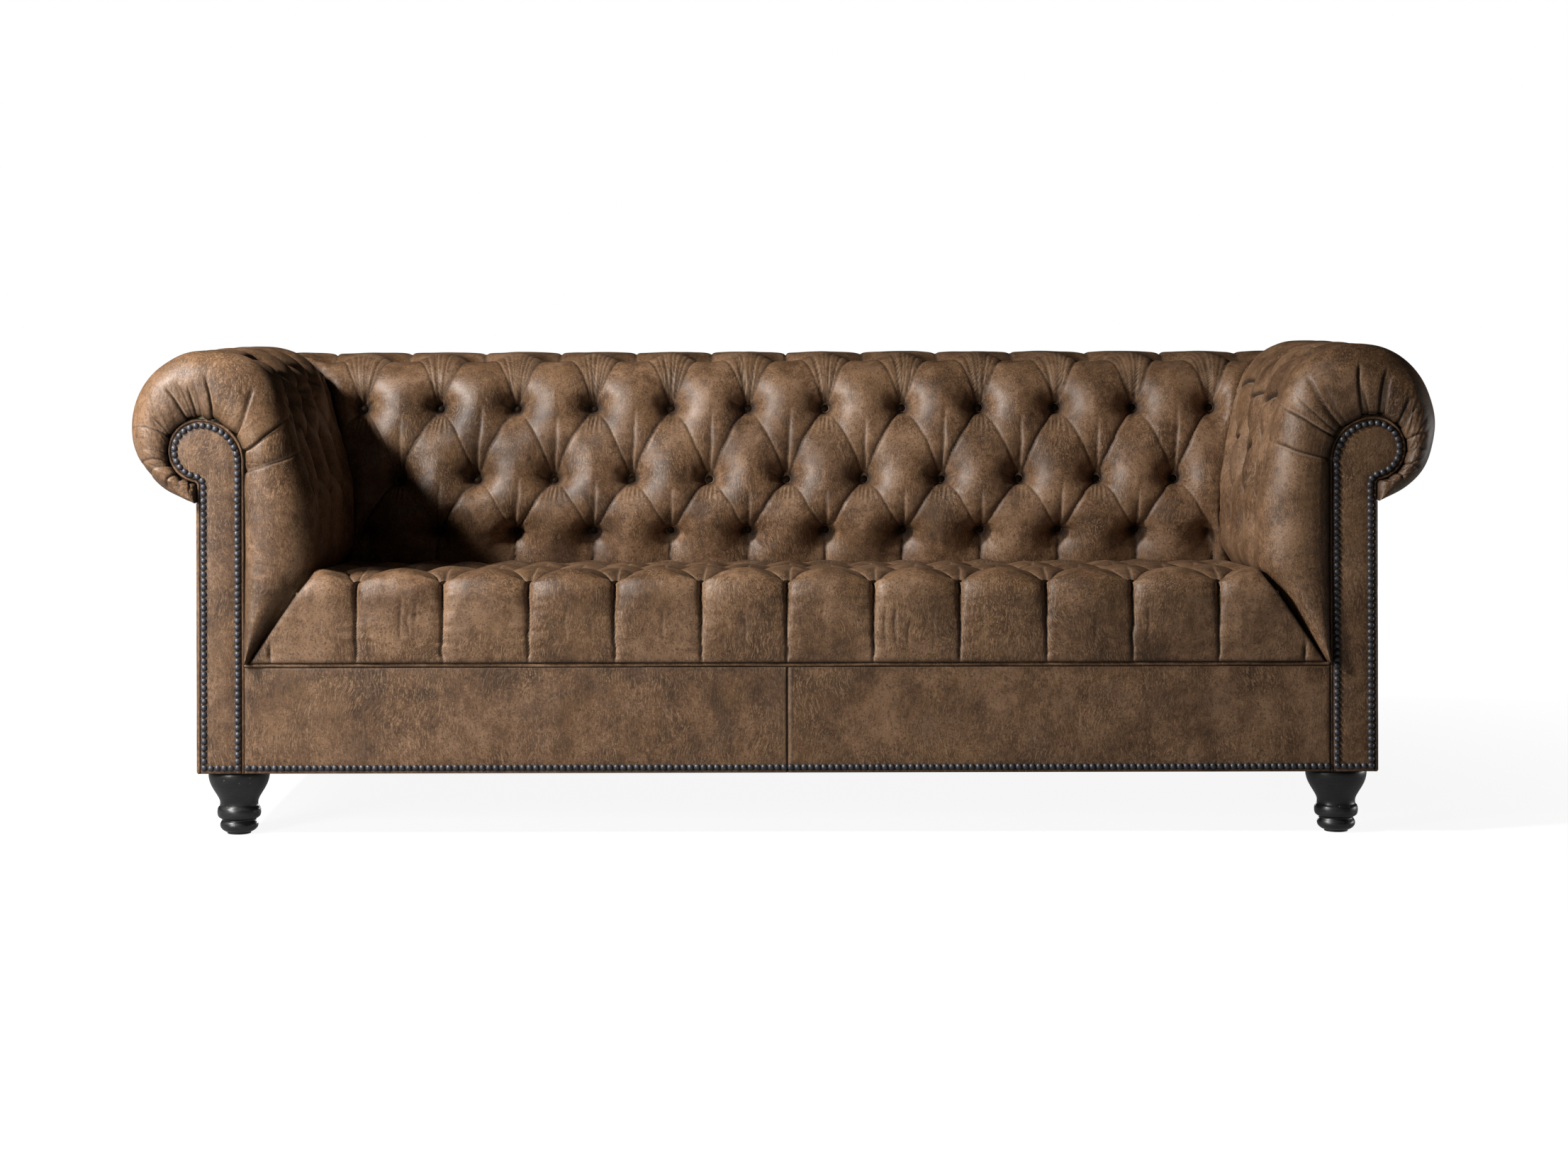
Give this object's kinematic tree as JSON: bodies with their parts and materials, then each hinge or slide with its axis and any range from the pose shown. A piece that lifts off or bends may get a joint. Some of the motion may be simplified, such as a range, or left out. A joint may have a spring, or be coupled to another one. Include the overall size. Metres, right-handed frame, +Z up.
{
  "type": "tufted sofa",
  "caption": "Deep-buttoned leather-look sofa with rolled arms and back of one height, pleated arm fronts with nailed facings, and turned black legs; it seats people.",
  "frame": {"origin": "on the floor, at the centre of the sofa's bounding box", "axes": "+X along the sofa from the viewer's left to right, +Y from the front to the back, +Z up"},
  "size_m": [2.217, 0.9489, 0.818],
  "materials": {
    "tufted_leather": "satin",
    "panel_leather": "satin",
    "piping_leather": "satin",
    "button_leather": "satin",
    "nail_metal": "satin",
    "black_leg_wood": "satin",
    "glide_plastic": "matte",
    "frame_wood": "matte",
    "plywood": "matte",
    "foam": "matte",
    "jute": "matte",
    "black_cloth": "matte",
    "zinc_steel": "satin"
  },
  "bodies": {
    "root": {"front_rail": "frame_wood", "rear_rail": "frame_wood", "left_side_rail": "frame_wood", "right_side_rail": "frame_wood", "seat_rear_rail": "frame_wood", "seat_stretchers": "frame_wood", "corner_blocks": "frame_wood", "left_scroll_board": "plywood", "right_scroll_board": "plywood", "arm_posts": "frame_wood", "left_arm_top_rail": "frame_wood", "right_arm_top_rail": "frame_wood", "back_top_rail": "frame_wood", "back_ribs": "frame_wood", "seat_springs": "zinc_steel", "spring_clips": "zinc_steel", "seat_deck_cloth": "jute", "front_edge_strip": "frame_wood", "back_webbing": "jute", "left_arm_webbing": "jute", "right_arm_webbing": "jute", "seat_foam": "foam", "back_foam": "foam", "left_arm_foam": "foam", "right_arm_foam": "foam", "seat_cover": "tufted_leather", "back_cover": "tufted_leather", "left_arm_cover": "tufted_leather", "right_arm_cover": "tufted_leather", "left_facing_panel": "panel_leather", "right_facing_panel": "panel_leather", "left_facing_piping": "piping_leather", "right_facing_piping": "piping_leather", "left_front_panel": "panel_leather", "right_front_panel": "panel_leather", "seat_piping": "piping_leather", "left_outside_arm": "panel_leather", "right_outside_arm": "panel_leather", "outside_back": "panel_leather", "dust_cover": "black_cloth", "seat_buttons": "button_leather", "back_buttons": "button_leather", "left_arm_buttons": "button_leather", "right_arm_buttons": "button_leather", "left_facing_nails": "nail_metal", "right_facing_nails": "nail_metal", "front_panel_nails": "nail_metal", "front_left_leg": "black_leg_wood", "front_right_leg": "black_leg_wood", "rear_left_leg": "black_leg_wood", "rear_right_leg": "black_leg_wood", "front_left_glide": "glide_plastic", "front_right_glide": "glide_plastic", "rear_left_glide": "glide_plastic", "rear_right_glide": "glide_plastic", "leg_bolts": "zinc_steel", "leg_t_nuts": "zinc_steel"}
  },
  "joints": []
}
